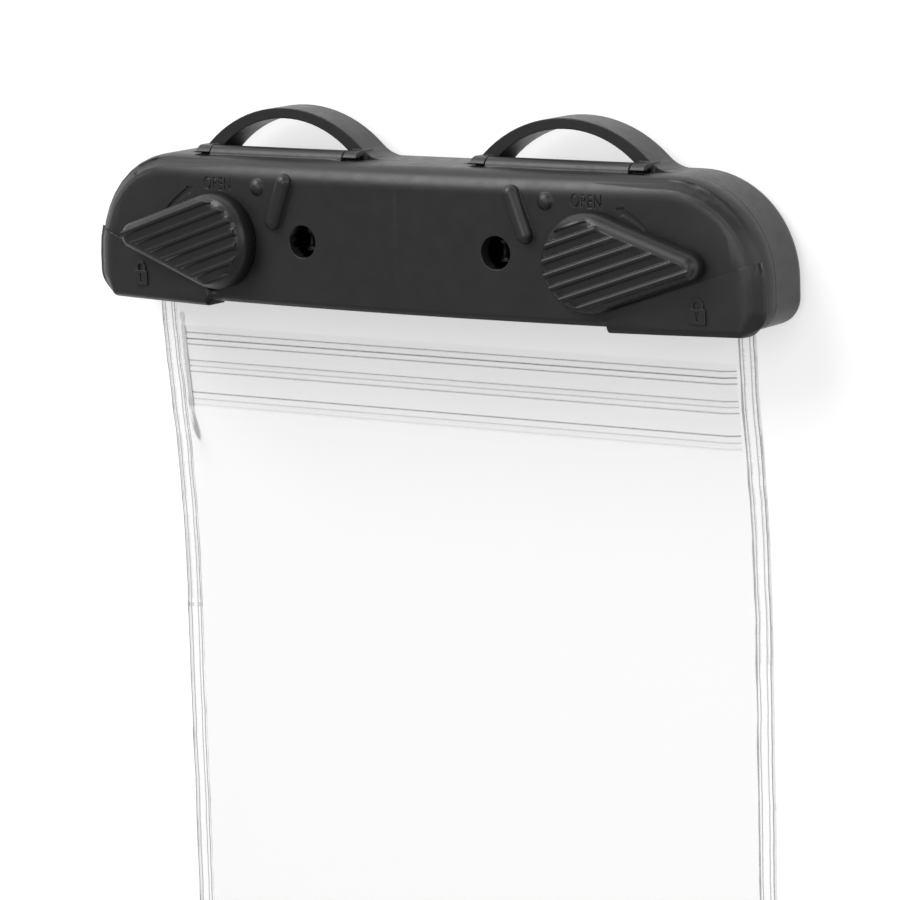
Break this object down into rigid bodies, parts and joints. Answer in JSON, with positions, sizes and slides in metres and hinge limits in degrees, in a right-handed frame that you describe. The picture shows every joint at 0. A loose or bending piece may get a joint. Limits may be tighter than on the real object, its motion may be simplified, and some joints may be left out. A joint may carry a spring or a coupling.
{
  "type": "waterproof phone pouch",
  "caption": "Clear flat pouch with a zip, closed across its mouth by a black hinged clamp with locking knobs and moulded cord loops.",
  "frame": {"origin": "middle of the box's bottom face, on the surface the pouch lies on", "axes": "+X along the clamp to the right seen from the front, +Y from the pouch up to the cord loops, +Z out of the front"},
  "size_m": [0.12, 0.2094, 0.0198],
  "materials": {
    "black_plastic": "satin, finely textured",
    "knob_plastic": "satin",
    "cam_plastic": "satin",
    "steel": "bright",
    "seal_rubber": "matte",
    "clear_film": "clear, glossy",
    "zip_plastic": "clear, slightly milky"
  },
  "bodies": {
    "pouch": {"rear_shell": "black_plastic", "rear_seal": "seal_rubber", "front_film": "clear_film", "rear_film": "clear_film", "front_zip_strip": "zip_plastic", "rear_zip_strip": "zip_plastic"},
    "clamp_front": {"front_shell": "black_plastic", "front_seal": "seal_rubber", "left_hinge_pin": "steel", "right_hinge_pin": "steel"},
    "left_lock": {"left_knob": "knob_plastic", "left_lock_cam": "cam_plastic", "left_cam_screw": "steel"},
    "right_lock": {"right_knob": "knob_plastic", "right_lock_cam": "cam_plastic", "right_cam_screw": "steel"}
  },
  "joints": [
    {"name": "clamp_hinge", "type": "hinge", "parent": "pouch", "child": "clamp_front", "pos_m": [0, 0.0972, 0.0101], "axis": [-1, 0, 0], "range_deg": [0, 75]},
    {"name": "left_knob_turn", "type": "hinge", "parent": "clamp_front", "child": "left_lock", "pos_m": [-0.0335, 0.0849, 0.01518], "axis": [0.0788, 0, -0.9969], "range_deg": [0, 132.5]},
    {"name": "right_knob_turn", "type": "hinge", "parent": "clamp_front", "child": "right_lock", "pos_m": [0.0335, 0.0849, 0.01518], "axis": [0.0788, 0, 0.9969], "range_deg": [0, 132.5]}
  ]
}
